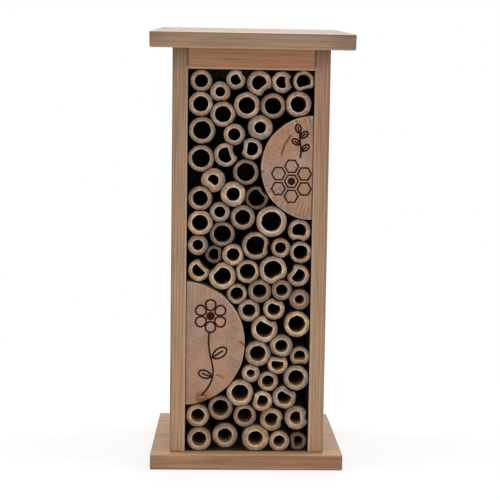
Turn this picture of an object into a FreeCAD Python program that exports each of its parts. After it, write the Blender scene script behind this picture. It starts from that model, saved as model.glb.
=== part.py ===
"""A bee hotel: a tall open-fronted wooden box on a base board, under a sloping roof.

The box is filled with lengths of bamboo and two half logs, which stand against its back panel.
Units are millimetres. The origin is the middle of the base board's underside, +Z is up,
+X is to the right seen from the front, and the front faces -Y.
"""

import FreeCAD
import Part
import itertools
import math
import os

# Base board
base_width = 117.0
base_depth = 90.0
base_thickness = 9.6
base_front_lip = 5.0

# Box: two side panels, a rail across the top of the front, and a back panel between the sides
box_width = 94.0
box_depth = 80.0
side_thickness = 9.2
opening_height = 232.0
rail_height = 13.0
rail_thickness = 9.0
back_thickness = 6.0

# Roof board, which falls towards the front
roof_width = 118.0
roof_thickness = 9.0
roof_slope_degrees = 9.0
roof_front_overhang = 21.0
roof_back_overhang = 1.0

# Eased edges of the sawn boards
board_edge_round = 0.7
rail_edge_round = 0.5

# Half logs: sawn flat a little off their centre, and fastened to a side panel by the flat
upper_log_radius = 31.5
upper_log_height = 174.0
upper_log_off_centre = 0.0
lower_log_radius = 38.2
lower_log_height = 66.7
lower_log_off_centre = 1.8
log_recess = 1.5
log_edge_round = 0.6

# Wire nails, with the heads sunk below the surface
nail_radius = 0.8
nail_length = 25.0
nail_point_length = 2.5
nail_head_radius = 1.7
nail_head_thickness = 1.0
nail_sink = 0.4
nail_clearance = 0.05
nail_end_distance = 14.0
back_nail_heights = (22.0, 122.0, 222.0)
log_nail_spacing = 26.0

# Bamboo: how closely the lengths lie, and the rounding of their cut ends and grooves
tube_gap = 0.15
tube_least_gap = 0.04
tube_rim_round = 0.7
bore_rim_round = 0.3
groove_corner_round = 1.0
bore_corner_round = 0.7
narrow_groove = 3.2
wide_groove = 11.0
settle_passes = 400
patient_passes = 240
passes_between_swaps = 8
thinner_share = 0.98

# The opening that the places below were laid out for; another opening spreads or closes them
layout_width = 75.6
layout_height = 232.0

# Round lengths of bamboo, from the floor up:
# across from the left panel, up from the floor, outer diameter, bore, and how far back the end stands
round_tubes = [
    (8.8, 7.4, 14.5, 8.8, 1.5),
    (24.6, 8.0, 15.4, 8.8, 7.0),
    (43.1, 8.2, 16.1, 9.0, 1.0),
    (57.9, 6.3, 12.2, 7.1, 1.5),
    (7.8, 21.9, 13.8, 8.2, 2.0),
    (21.8, 26.7, 14.7, 9.9, 3.0),
    (37.0, 21.6, 13.8, 8.9, 3.0),
    (33.9, 36.0, 15.9, 10.3, 1.0),
    (50.4, 43.8, 12.1, 7.3, 1.5),
    (67.6, 46.0, 15.2, 9.5, 1.0),
    (40.0, 48.4, 10.8, 5.0, 2.0),
    (44.2, 60.9, 15.4, 9.5, 1.0),
    (58.4, 66.1, 13.8, 7.5, 1.0),
    (67.5, 79.2, 15.5, 10.2, 1.0),
    (38.3, 86.4, 13.1, 8.0, 2.5),
    (68.8, 94.4, 12.2, 5.5, 1.5),
    (58.0, 100.1, 12.0, 7.0, 1.5),
    (44.3, 98.7, 13.9, 8.3, 2.5),
    (31.1, 96.8, 12.0, 7.8, 2.5),
    (37.1, 111.0, 14.0, 9.5, 2.0),
    (28.3, 120.8, 12.7, 7.8, 1.5),
    (68.9, 123.1, 12.9, 8.7, 1.5),
    (56.9, 125.3, 11.5, 6.7, 2.0),
    (7.0, 126.9, 12.0, 6.3, 1.5),
    (21.5, 133.7, 14.9, 10.4, 5.0),
    (8.2, 140.3, 14.8, 9.5, 1.0),
    (51.2, 141.8, 18.0, 11.9, 1.0),
    (34.0, 144.2, 14.5, 9.1, 1.5),
    (20.0, 147.0, 12.0, 6.6, 2.0),
    (8.2, 155.2, 14.4, 9.0, 1.5),
    (28.1, 158.1, 14.7, 8.0, 1.0),
    (35.1, 170.8, 15.4, 10.8, 5.0),
    (8.5, 178.6, 15.6, 10.7, 1.5),
    (27.7, 193.9, 12.6, 7.2, 2.0),
    (8.7, 195.8, 15.7, 10.5, 1.0),
    (43.5, 198.0, 14.6, 6.9, 2.0),
    (21.1, 205.3, 14.7, 9.5, 1.5),
    (51.1, 210.8, 15.0, 9.9, 2.5),
    (35.3, 211.1, 15.4, 9.9, 1.5),
    (7.9, 211.5, 14.3, 9.0, 2.0),
    (67.1, 212.4, 15.2, 9.4, 1.0),
    (19.4, 219.0, 11.8, 5.7, 2.5),
    (7.9, 225.1, 12.8, 7.8, 2.0),
]

# Lengths cut from above a branch, where the wall is grooved or flattened on one side:
# as above, then the groove's depth and its radius
grooved_tubes = [
    (69.5, 5.6, 11.0, 6.5, 4.0, 1.4, wide_groove),
    (52.8, 19.5, 13.8, 8.2, 2.0, 1.0, narrow_groove),
    (68.3, 20.9, 14.3, 7.7, 2.0, 1.8, narrow_groove),
    (47.2, 31.3, 12.1, 7.4, 1.0, 1.0, wide_groove),
    (60.7, 33.9, 14.2, 8.7, 1.0, 2.6, narrow_groove),
    (55.8, 54.4, 11.9, 7.5, 1.0, 2.2, wide_groove),
    (69.1, 60.1, 11.7, 7.0, 1.5, 1.6, wide_groove),
    (47.6, 76.0, 15.6, 10.4, 1.0, 3.0, narrow_groove),
    (53.2, 87.6, 12.7, 7.8, 2.0, 1.3, narrow_groove),
    (22.2, 107.8, 16.0, 10.5, 1.0, 1.4, wide_groove),
    (67.8, 108.9, 13.3, 8.3, 1.5, 2.6, narrow_groove),
    (7.7, 111.4, 12.8, 8.0, 1.5, 2.6, wide_groove),
    (52.6, 112.1, 16.4, 11.0, 1.0, 1.5, wide_groove),
    (16.6, 120.9, 10.8, 6.8, 6.0, 1.2, wide_groove),
    (41.9, 126.9, 16.5, 11.6, 1.0, 1.6, narrow_groove),
    (68.0, 136.2, 13.5, 8.5, 1.5, 2.0, narrow_groove),
    (43.0, 156.6, 13.9, 10.0, 5.0, 2.0, narrow_groove),
    (15.9, 165.6, 14.2, 6.6, 1.5, 1.6, wide_groove),
    (22.9, 181.3, 13.8, 8.9, 1.5, 2.8, narrow_groove),
    (38.5, 185.2, 12.6, 7.9, 1.5, 1.6, wide_groove),
    (42.7, 224.2, 14.5, 8.8, 1.0, 2.4, narrow_groove),
    (55.9, 225.0, 12.4, 7.1, 1.5, 2.0, narrow_groove),
    (68.5, 225.5, 12.5, 8.5, 1.5, 1.8, wide_groove),
    (28.4, 226.1, 11.3, 6.2, 2.0, 0.9, narrow_groove),
]

# The direction of each of those grooves in turn, counted from the right
groove_degrees = [
    185.0, -15.0, 5.0, 165.0, 58.0, 85.0, -90.0, 62.0,
    70.0, 135.0, 145.0, 45.0, -60.0, 0.0, -10.0, -95.0,
    42.0, 232.0, 20.0, 170.0, -50.0, 5.0, -75.0, 35.0,
]
tubes_per_node = 2

# Places that follow from the sizes above
opening_width = box_width - 2 * side_thickness
box_front = base_front_lip - base_depth / 2
box_back = box_front + box_depth
back_face = box_back - back_thickness
floor = base_thickness
ceiling = floor + opening_height
left_wall = -opening_width / 2
right_wall = opening_width / 2
roof_slope = math.radians(roof_slope_degrees)
roof_up = FreeCAD.Vector(0, -math.sin(roof_slope), math.cos(roof_slope))
roof_back = FreeCAD.Vector(0, math.cos(roof_slope), math.sin(roof_slope))


def vector(x, y, z):
    return FreeCAD.Vector(x, y, z)


def roof_underside(y):
    """Height of the roof's lower face at a place along the depth."""
    return ceiling + rail_height + (y - box_front) * math.tan(roof_slope)


def board_from_outline(points, along):
    """A board cut to a flat outline, with its sawn edges eased."""
    face = Part.Face(Part.makePolygon(points + points[:1]))
    board = face.extrude(along)
    return board.makeFillet(board_edge_round, board.Edges)


def nail(point, direction, grow=0.0):
    """A wire nail driven at a surface point. With grow it is the hole that takes the nail."""
    along = FreeCAD.Vector(direction).normalize()
    seat = point if grow else point + along * nail_sink
    head_length = nail_head_thickness + (nail_sink if grow else 0.0)
    head = Part.makeCylinder(nail_head_radius + grow, head_length, seat, along)
    tip = point + along * (nail_sink + nail_length - nail_point_length)
    shank_length = (tip - seat).Length
    shank = Part.makeCylinder(nail_radius + grow, shank_length, seat, along)
    cone = Part.makeCone(nail_radius + grow, 0.0, nail_point_length + grow, tip, along)
    return head.fuse([shank, cone]).removeSplitter()


def nail_hole(point, direction):
    return nail(point, direction, nail_clearance)


def side_middle(side):
    """The middle of a side panel's thickness: -1 is the left panel and 1 the right one."""
    return side * (box_width - side_thickness) / 2


def roof_nail_places():
    down = roof_up * -1
    for side, y in itertools.product((-1, 1), (box_front + nail_end_distance, box_back - nail_end_distance)):
        seat = vector(side_middle(side), y, roof_underside(y))
        yield seat + roof_up * roof_thickness, down


def base_nail_places():
    for side, y in itertools.product((-1, 1), (box_front + nail_end_distance, box_back - nail_end_distance)):
        yield vector(side_middle(side), y, 0), vector(0, 0, 1)


def rail_nail_places(side):
    height = ceiling + rail_height / 2
    yield vector(side * box_width / 2, box_front + rail_thickness / 2, height), vector(-side, 0, 0)


def back_nail_places(side):
    for height in back_nail_heights:
        place = vector(side * box_width / 2, box_back - back_thickness / 2, floor + height)
        yield place, vector(-side, 0, 0)


def log_nail_places(side, height):
    middle = (box_front + log_recess + back_face) / 2
    for offset in (-log_nail_spacing / 2, log_nail_spacing / 2):
        yield vector(side * box_width / 2, middle + offset, floor + height), vector(-side, 0, 0)


def log_places():
    """Each half log: the side that carries it, its height, radius and distance off centre."""
    yield -1, lower_log_height, lower_log_radius, lower_log_off_centre
    yield 1, upper_log_height, upper_log_radius, upper_log_off_centre


def side_nail_places(side):
    """Every nail that goes in through the outside of one side panel."""
    yield from rail_nail_places(side)
    yield from back_nail_places(side)
    for log_side, height, _, _ in log_places():
        if log_side == side:
            yield from log_nail_places(side, height)


def with_holes(solid, places):
    for place, direction in places:
        solid = solid.cut(nail_hole(place, direction))
    return solid


def base_board():
    corner = vector(-base_width / 2, -base_depth / 2, 0)
    board = Part.makeBox(base_width, base_depth, base_thickness, corner)
    board = board.makeFillet(board_edge_round, board.Edges)
    return with_holes(board, base_nail_places())


def side_panel(side):
    outer = side * box_width / 2
    outline = [
        vector(outer, box_front, floor),
        vector(outer, box_back, floor),
        vector(outer, box_back, roof_underside(box_back)),
        vector(outer, box_front, roof_underside(box_front)),
    ]
    panel = board_from_outline(outline, vector(-side * side_thickness, 0, 0))
    ends = [*roof_nail_places(), *base_nail_places()]
    own_ends = [(place, direction) for place, direction in ends if place.x * side > 0]
    return with_holes(panel, [*side_nail_places(side), *own_ends])


def front_rail():
    back = box_front + rail_thickness
    outline = [
        vector(left_wall, box_front, ceiling),
        vector(left_wall, back, ceiling),
        vector(left_wall, back, roof_underside(back)),
        vector(left_wall, box_front, roof_underside(box_front)),
    ]
    face = Part.Face(Part.makePolygon(outline + outline[:1]))
    rail = face.extrude(vector(opening_width, 0, 0))
    rail = rail.makeFillet(rail_edge_round, rail.Edges)
    return with_holes(rail, [*rail_nail_places(-1), *rail_nail_places(1)])


def back_panel():
    outline = [
        vector(left_wall, back_face, floor),
        vector(left_wall, box_back, floor),
        vector(left_wall, box_back, roof_underside(box_back)),
        vector(left_wall, back_face, roof_underside(back_face)),
    ]
    face = Part.Face(Part.makePolygon(outline + outline[:1]))
    panel = face.extrude(vector(opening_width, 0, 0))
    return with_holes(panel, [*back_nail_places(-1), *back_nail_places(1)])


def roof_board():
    front = box_front - roof_front_overhang
    front_edge = vector(-roof_width / 2, front, roof_underside(front))
    length = (box_depth + roof_front_overhang + roof_back_overhang) / math.cos(roof_slope)
    outline = [
        front_edge,
        front_edge + roof_back * length,
        front_edge + roof_back * length + roof_up * roof_thickness,
        front_edge + roof_up * roof_thickness,
    ]
    board = board_from_outline(outline, vector(roof_width, 0, 0))
    return with_holes(board, roof_nail_places())


def half_log(side, height, radius, off_centre):
    """A log's end grain faces the front; its flat lies on the inside of a side panel."""
    front = box_front + log_recess
    wall = side * opening_width / 2
    axis_point = vector(wall + side * off_centre, front, floor + height)
    log = Part.makeCylinder(radius, back_face - front, axis_point, vector(0, 1, 0))
    waste_corner = vector(wall if side > 0 else wall - 2 * radius, front, floor + height - radius)
    waste = Part.makeBox(2 * radius, back_face - front, 2 * radius, waste_corner)
    log = log.cut(waste)
    front_edges = [e for e in log.Edges if abs(e.BoundBox.YMax - front) < log_edge_round / 2]
    log = log.makeFillet(log_edge_round, front_edges)
    return with_holes(log, log_nail_places(side, height))


class Tube:
    """One length of bamboo: where its axis stands in the opening, and its shape."""

    def __init__(self, across, up, outer, bore, recess, depth=0.0, groove=0.0, degrees=0.0):
        self.x = left_wall + across * opening_width / layout_width
        self.z = floor + up * opening_height / layout_height
        self.radius = outer / 2
        self.bore_radius = bore / 2
        self.front = box_front + recess
        self.angle = math.radians(degrees)
        self.groove_depth = depth
        self.groove_radius = groove

    def groove_spread(self, radius, corner, groove):
        """Half the angle over which a groove draws in an outline of this radius."""
        reach = self.radius - self.groove_depth + self.groove_radius
        blend = radius - corner
        return math.acos((blend**2 + reach**2 - (groove + corner) ** 2) / (2 * blend * reach))

    def nearest_point(self, x, z):
        """The point of the tube nearest to a point outside it, with a groove taken as a flat."""
        across = x - self.x
        up = z - self.z
        reach = math.hypot(across, up)
        cos, sin = math.cos(self.angle), math.sin(self.angle)
        if self.groove_depth:
            spread = self.groove_spread(self.radius, groove_corner_round, self.groove_radius)
            shoulder = groove_corner_round * (1 - math.cos(spread))
            flat = self.radius * math.cos(spread) + shoulder
            if (across * cos + up * sin) * self.radius > flat * reach:
                half = math.sqrt(self.radius**2 - flat**2)
                aside = min(max(up * cos - across * sin, -half), half)
                return self.x + flat * cos - aside * sin, self.z + flat * sin + aside * cos
        return self.x + across * self.radius / reach, self.z + up * self.radius / reach

    def gap_to_disc(self, x, z, radius):
        near_x, near_z = self.nearest_point(x, z)
        return math.hypot(x - near_x, z - near_z) - radius

    def gap_to(self, other):
        gap = self.gap_to_disc(other.x, other.z, other.radius)
        return max(gap, other.gap_to_disc(self.x, self.z, self.radius))

    def move_from(self, x, z, distance):
        """Moves the tube straight away from a point."""
        reach = math.hypot(self.x - x, self.z - z)
        self.x += (self.x - x) * distance / reach
        self.z += (self.z - z) * distance / reach

    def gaps_to_logs(self):
        """The gap to each half log, with the place of the log's axis."""
        for side, height, radius, off_centre in log_places():
            log_x = side * (opening_width / 2 + off_centre)
            log_z = floor + height
            yield self.gap_to_disc(log_x, log_z, radius), log_x, log_z

    def is_squeezed(self, tubes):
        gaps = [self.gap_to(other) for other in tubes if other is not self]
        gaps += [gap for gap, _, _ in self.gaps_to_logs()]
        return min(gaps) < tube_least_gap

    def swap_for_thinner(self):
        """Takes a slightly thinner tube of the same shape."""
        self.radius *= thinner_share
        self.bore_radius *= thinner_share
        self.groove_depth *= thinner_share
        self.groove_radius *= thinner_share

    def keep_inside(self):
        """Moves the tube off the logs, the walls, the floor and the rail."""
        for gap, log_x, log_z in self.gaps_to_logs():
            if gap < tube_gap:
                self.move_from(log_x, log_z, tube_gap - gap)
        reach = self.radius + tube_gap
        self.x = min(max(self.x, left_wall + reach), right_wall - reach)
        self.z = min(max(self.z, floor + reach), ceiling - reach)


def settle(tubes):
    """Moves the tubes apart until they lie clear of each other, the logs and the walls.

    A tube that is still squeezed after a while is swapped for a thinner one.
    """
    for step in range(settle_passes):
        for one, other in itertools.combinations(tubes, 2):
            lacking = tube_gap - one.gap_to(other)
            if lacking > 0:
                x, z = one.x, one.z
                one.move_from(other.x, other.z, lacking / 2)
                other.move_from(x, z, lacking / 2)
        for tube in tubes:
            tube.keep_inside()
        if step >= patient_passes and step % passes_between_swaps == 0:
            for tube in [tube for tube in tubes if tube.is_squeezed(tubes)]:
                tube.swap_for_thinner()


def ring_outline(tube, radius, corner, groove):
    """A closed outline across the bamboo: a circle, or a circle drawn in by a groove on one side.

    The groove's arc is blended into the circle by a small arc at each of its edges.
    """
    centre = vector(tube.x, tube.front, tube.z)
    if not tube.groove_depth:
        return Part.Wire(Part.makeCircle(radius, centre, vector(0, -1, 0)))

    def point(distance, angle):
        turned = tube.angle + angle
        return centre + vector(distance * math.cos(turned), 0, distance * math.sin(turned))

    reach = tube.radius - tube.groove_depth + tube.groove_radius
    blend = radius - corner
    spread = tube.groove_spread(radius, corner, groove)
    groove_centre = point(reach, 0)
    edges = []
    meetings = []
    for sign in (1, -1):
        blend_centre = point(blend, sign * spread)
        on_circle = point(radius, sign * spread)
        on_groove = blend_centre + (groove_centre - blend_centre).normalize() * corner
        outward = (on_circle - blend_centre) + (on_groove - blend_centre)
        middle = blend_centre + outward.normalize() * corner
        edges.append(Part.Arc(on_circle, middle, on_groove).toShape())
        meetings.append((on_circle, on_groove))
    bottom = point(reach - groove, 0)
    edges.append(Part.Arc(meetings[0][1], bottom, meetings[1][1]).toShape())
    edges.append(Part.Arc(meetings[0][0], point(-radius, 0), meetings[1][0]).toShape())
    return Part.Wire(Part.__sortEdges__(edges))


def front_rim(solid, tube):
    return [e for e in solid.Edges if e.BoundBox.YMax < tube.front + tube_rim_round / 2]


def bamboo(tube):
    """A length of bamboo with its bore, from its front end to the back panel."""
    wall = tube.radius - tube.bore_radius
    along = vector(0, back_face - tube.front, 0)
    outer_wire = ring_outline(tube, tube.radius, groove_corner_round, tube.groove_radius)
    bore_wire = ring_outline(tube, tube.bore_radius, bore_corner_round, tube.groove_radius + wall)
    cane = Part.Face(outer_wire).extrude(along)
    cane = cane.makeFillet(tube_rim_round, front_rim(cane, tube))
    bore = Part.Face(bore_wire).extrude(along)
    cane = cane.cut(bore)
    mouth = [e for e in front_rim(cane, tube) if e.BoundBox.XLength < 2 * tube.bore_radius + bore_rim_round]
    return cane.makeFillet(bore_rim_round, mouth)


def nails(places):
    return Part.makeCompound([nail(place, direction) for place, direction in places])


def tube_nodes():
    """The bamboo by node: each grooved length alone, and the round ones in neighbouring pairs."""
    plain = [Tube(*row) for row in round_tubes]
    grooved = [Tube(*row, degrees) for row, degrees in zip(grooved_tubes, groove_degrees)]
    settle(plain + grooved)
    nodes = {}
    for number, tube in enumerate(grooved, 1):
        nodes[f"grooved_tube_{number:02d}"] = bamboo(tube)
    for number, start in enumerate(range(0, len(plain), tubes_per_node), 1):
        pair = plain[start : start + tubes_per_node]
        nodes[f"round_tubes_{number:02d}"] = Part.makeCompound([bamboo(tube) for tube in pair])
    return nodes


def all_nodes():
    sides = (-1, 1)
    lower, upper = log_places()
    nodes = {
        "base_board": base_board(),
        "left_side_panel": side_panel(-1),
        "right_side_panel": side_panel(1),
        "front_top_rail": front_rail(),
        "back_panel": back_panel(),
        "roof_board": roof_board(),
        "lower_half_log": half_log(*lower),
        "upper_half_log": half_log(*upper),
        "roof_nails": nails(roof_nail_places()),
        "base_nails": nails(base_nail_places()),
        "rail_nails": nails(place for side in sides for place in rail_nail_places(side)),
        "back_panel_nails": nails(place for side in sides for place in back_nail_places(side)),
        "half_log_nails": nails(place for log in (lower, upper) for place in log_nail_places(*log[:2])),
    }
    nodes.update(tube_nodes())
    return nodes


os.makedirs("parts", exist_ok=True)
for node, shape in all_nodes().items():
    shape.exportStep(f"parts/{node}.step")
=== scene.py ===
# %% [markdown]
# # A bee hotel of pine, bamboo and two half logs
#
# The real object is a small open-fronted box of sawn pine. It is packed with short lengths of
# bamboo and two half logs, all with their ends to the front, so that solitary bees can nest in
# the bores. The solids of the part are loaded first and stay where they are. The boards and the
# nails keep their solids and get a finish. The bamboo and the logs are modelled again with the
# unevenness of things that grew, in the same places.

# %% The frame
import math
import random

import bmesh
import bpy
from mathutils import Matrix, Vector, geometry, noise
from mathutils.bvhtree import BVHTree


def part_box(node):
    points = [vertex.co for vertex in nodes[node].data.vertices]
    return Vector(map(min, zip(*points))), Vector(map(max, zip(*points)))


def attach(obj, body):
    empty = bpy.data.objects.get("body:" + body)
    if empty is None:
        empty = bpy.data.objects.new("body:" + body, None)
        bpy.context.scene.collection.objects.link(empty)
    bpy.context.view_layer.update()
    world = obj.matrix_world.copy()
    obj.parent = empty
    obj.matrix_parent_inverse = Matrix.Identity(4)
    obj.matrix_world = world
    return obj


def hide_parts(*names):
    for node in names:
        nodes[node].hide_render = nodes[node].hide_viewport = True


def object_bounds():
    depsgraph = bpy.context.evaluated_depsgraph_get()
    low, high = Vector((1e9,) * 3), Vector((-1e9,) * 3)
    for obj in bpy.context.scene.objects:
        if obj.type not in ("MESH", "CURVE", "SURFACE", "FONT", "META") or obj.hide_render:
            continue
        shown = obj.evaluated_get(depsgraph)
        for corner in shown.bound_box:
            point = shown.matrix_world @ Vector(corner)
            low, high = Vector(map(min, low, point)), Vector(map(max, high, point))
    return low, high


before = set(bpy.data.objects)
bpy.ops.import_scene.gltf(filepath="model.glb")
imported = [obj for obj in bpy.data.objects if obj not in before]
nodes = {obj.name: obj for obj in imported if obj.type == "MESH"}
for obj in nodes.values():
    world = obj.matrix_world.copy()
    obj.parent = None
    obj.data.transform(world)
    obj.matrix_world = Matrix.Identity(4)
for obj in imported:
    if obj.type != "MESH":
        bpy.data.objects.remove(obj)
cad_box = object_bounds()
mm = 0.001
print(len(nodes), "nodes, from", cad_box[0][:], "to", cad_box[1][:])

# %% [markdown]
# ## The camera
#
# The photograph was taken with a longish lens from just below the roof, a little to the left of
# the middle and looking slightly down. A camera could be placed by eye. Here its place and turn
# were worked out from the corners of the boards and the places of the bamboo, so the lens is
# written as a focal length in pixels of the photograph and turned into millimetres. The middle of
# the lens lies above the middle of the picture, as in one that was cropped, so the lens is shifted.
# The shift is small.

# %% Camera
photo_pixels = 500
focal_pixels = 920
shift_pixels = 25
sensor_width = 36.0
camera_place = Vector((-15.3, -590.8, 191.2)) * mm
camera_yaw = math.radians(-1.62)
camera_pitch = math.radians(-4.37)
camera_roll = math.radians(0.83)

lens = bpy.data.cameras.new("photo_camera")
lens.sensor_width = sensor_width
lens.lens = sensor_width * focal_pixels / photo_pixels
lens.shift_y = -shift_pixels / photo_pixels
camera = bpy.data.objects.new("photo_camera", lens)
camera.matrix_world = (
    Matrix.Translation(camera_place)
    @ Matrix.Rotation(camera_yaw, 4, "Z")
    @ Matrix.Rotation(math.radians(90) + camera_pitch, 4, "X")
    @ Matrix.Rotation(camera_roll, 4, "Z")
)
bpy.context.collection.objects.link(camera)
bpy.context.scene.camera = camera
bpy.context.scene.view_settings.view_transform = "Standard"
print("lens", round(lens.lens, 1), "mm")

# %% [markdown]
# ## Writing shader maths
#
# A finish is a network of nodes, and building one socket by socket hides what it means. The class
# below wraps an output socket, so that a sum of two wires adds a Math node, and one method adds
# any other kind of node. Colours are mixed by a Mix node, because a Math node would turn them grey.


# %% Wires
class Wire:
    """An output socket of a material's node tree. Sums on wires add Math nodes."""

    def __init__(self, socket):
        self.socket = socket

    def node(self, kind, inputs, output=0, stops=(), **settings):
        """Adds a node to the same tree: its settings first, then the values or links of its inputs."""
        tree = self.socket.id_data
        made = tree.nodes.new("ShaderNode" + kind)
        for name, value in settings.items():
            setattr(made, name, value)
        for number, (place, colour) in enumerate(stops):
            steps = made.color_ramp.elements
            step = steps[number] if number < 2 else steps.new(place)
            step.position = place
            step.color = colour
        for place, value in inputs.items():
            if isinstance(value, Wire):
                tree.links.new(value.socket, made.inputs[place])
            else:
                made.inputs[place].default_value = value
        return Wire(made.outputs[output])

    def math(self, operation, *values):
        return self.node("Math", dict(enumerate(values)), operation=operation)

    def __add__(self, other):
        return self.math("ADD", self, other)

    def __sub__(self, other):
        return self.math("SUBTRACT", self, other)

    def __rsub__(self, other):
        return self.math("SUBTRACT", other, self)

    def __mul__(self, other):
        return self.math("MULTIPLY", self, other)

    def __truediv__(self, other):
        return self.math("DIVIDE", self, other)

    def __rtruediv__(self, other):
        return self.math("DIVIDE", other, self)

    def __abs__(self):
        return self.math("ABSOLUTE", self)

    __radd__ = __add__
    __rmul__ = __mul__

    def least(self, other):
        return self.math("MINIMUM", self, other)

    def most(self, other):
        return self.math("MAXIMUM", self, other)

    def vector(self, operation, *values, output="Vector"):
        inputs = dict(enumerate((self, *values)))
        return self.node("VectorMath", inputs, output=output, operation=operation)

    def length(self):
        return self.vector("LENGTH", output="Value")

    def distance(self, point):
        return self.vector("DISTANCE", point, output="Value")

    def rise(self, low, high):
        """0 below low, 1 above high and a smooth step between; a fall if high is the smaller."""
        inputs = {0: self, 1: low, 2: high, 3: 0.0, 4: 1.0}
        return self.node("MapRange", inputs, interpolation_type="SMOOTHSTEP")

    def part(self, axis):
        return self.node("SeparateXYZ", {0: self}, output=axis)

    def along(self, direction):
        """How far a vector reaches in a direction."""
        return self.vector("DOT_PRODUCT", direction, output="Value")

    def stretched(self, x, y, z):
        return self.vector("MULTIPLY", (x, y, z))

    def speckle(self, size, detail=2.0):
        """Soft noise from 0 to 1, with spots of about this size."""
        return self.node("TexNoise", {"Vector": self, "Scale": 1 / size, "Detail": detail})


def blend(mask, first, second, way="MIX"):
    """The first colour where the mask is 0 and the second where it is 1."""
    wire = next(value for value in (mask, first, second) if isinstance(value, Wire))
    return wire.node("Mix", {0: mask, 6: first, 7: second}, output=2, data_type="RGBA", blend_type=way)


def tinted(colour, tint, mask=1.0):
    """The colour multiplied by a tint, where the mask is 1."""
    return blend(mask, colour, tint, "MULTIPLY")


def layered(colour, *layers):
    """The colour under layers, each of which has a mask and a colour of its own."""
    for mask, layer in layers:
        colour = blend(mask, colour, layer)
    return colour


print("a wire can", [name for name in vars(Wire) if not name.startswith("_")])


# %% Colours and materials
def tone(red, green, blue):
    """A colour written as the eye sees it, from 0 to 255, in the linear light that nodes use."""
    share = [c / 255 for c in (red, green, blue)]
    return (*[c / 12.92 if c <= 0.04045 else ((c + 0.055) / 1.055) ** 2.4 for c in share], 1.0)


def new_finish(name):
    """A new material, and the wire that carries the object's own coordinates."""
    material = bpy.data.materials.new(name)
    material.use_nodes = True
    place = material.node_tree.nodes.new("ShaderNodeTexCoord")
    return material, Wire(place.outputs["Object"])


def give(material, colour, roughness, height, relief, metallic=0.0, sheen=0.0, specular=0.5):
    """Connects a finish: its colour, its roughness, and a bump of that relief in metres."""
    shader = material.node_tree.nodes["Principled BSDF"]
    bump = height.node("Bump", {"Height": height, "Distance": relief, "Strength": 1.0})
    for name, wire in (("Base Color", colour), ("Roughness", roughness), ("Normal", bump)):
        material.node_tree.links.new(wire.socket, shader.inputs[name])
    shader.inputs["Metallic"].default_value = metallic
    shader.inputs["Sheen Weight"].default_value = sheen
    shader.inputs["Specular IOR Level"].default_value = specular
    return material


print("a middle grey is", round(tone(128, 128, 128)[0], 3), "in linear light")

# %% [markdown]
# ## Floor, light and background
#
# The photograph has a white background and very soft light: bright on the tops, a little darker on
# the fronts, and with hardly a shadow. A single strong lamp would cast one, so large lamps stand
# above, at both sides, and further away in front and behind. The white comes from what the camera
# sees of the world and the floor, not from more light, and close to the object the floor is a real
# surface that takes the shadow.

# %% World
plain_white = (1, 1, 1, 1)
ambient_light = 0.16


def seen_directly(wire):
    """1 for rays from the camera, from a mirror or through glass."""
    kinds = ("Camera", "Glossy", "Transmission")
    straight, mirrored, through_glass = [
        wire.node("LightPath", {}, output=f"Is {kind} Ray") for kind in kinds
    ]
    return straight.most(mirrored).most(through_glass)


world = bpy.data.worlds.new("white_studio")
bpy.context.scene.world = world
world.use_nodes = True
sky = world.node_tree.nodes["Background"]
sky_level = ambient_light + (1 - ambient_light) * seen_directly(Wire(sky.outputs[0]))
world.node_tree.links.new(sky_level.socket, sky.inputs["Strength"])
sky.inputs["Color"].default_value = plain_white
print("the world lights the object at", ambient_light)

# %% Floor
floor_radius = 4.0
floor_tone = tone(150, 150, 150)
floor_glow = 0.67
floor_bounce = 0.35
white_distance = (0.16, 0.42)

floor_bm = bmesh.new()
bmesh.ops.create_circle(floor_bm, segments=64, radius=floor_radius, cap_ends=True)
floor_mesh = bpy.data.meshes.new("floor")
floor_bm.to_mesh(floor_mesh)
floor = bpy.data.objects.new("floor", floor_mesh)
bpy.context.collection.objects.link(floor)

floor_finish, floor_place = new_finish("pale_floor")
seen = seen_directly(floor_place)
paper = floor_place.node("BsdfDiffuse", {"Color": floor_tone})
glow_level = floor_bounce + seen * (floor_glow - floor_bounce)
glow = floor_place.node("Emission", {"Color": plain_white, "Strength": glow_level})
lit_paper = floor_place.node("AddShader", {0: paper, 1: glow})
white = floor_place.node("Emission", {"Color": plain_white, "Strength": 1.0})
far_away = floor_place.length().rise(*white_distance) * seen
floor_surface = far_away.node("MixShader", {0: far_away, 1: lit_paper, 2: white})
floor_output = floor_finish.node_tree.nodes["Material Output"]
floor_finish.node_tree.links.new(floor_surface.socket, floor_output.inputs["Surface"])
floor_mesh.materials.append(floor_finish)
print("the floor is white from", white_distance[1], "m on")

# %% Lamps
# name, place, how wide, and how brightly it lights a white card that faces it at the object
lamps = [
    ("top_softbox", Vector((0.0, 0.05, 1.25)), 0.7, 0.24),
    ("left_softbox", Vector((-1.05, 0.0, 0.75)), 0.8, 0.78),
    ("right_softbox", Vector((1.05, 0.0, 0.75)), 0.8, 0.78),
    ("front_softbox", Vector((-0.08, -1.15, 0.44)), 0.9, 0.51),
    ("back_softbox", Vector((0.10, 1.50, 0.40)), 0.9, 0.48),
]
object_middle = (cad_box[0] + cad_box[1]) / 2


def softbox(name, place, width, level):
    """Adds a square lamp that faces the object, and gives its power in watts."""
    lamp = bpy.data.lights.new(name, "AREA")
    lamp.size = width
    away = place - object_middle
    lamp.energy = level * math.pi ** 2 * away.length_squared
    holder = bpy.data.objects.new(name, lamp)
    holder.matrix_world = Matrix.Translation(place) @ away.to_track_quat("Z", "Y").to_matrix().to_4x4()
    bpy.context.collection.objects.link(holder)
    return lamp.energy


print("lamp powers", [round(softbox(*row), 1) for row in lamps])
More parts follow.
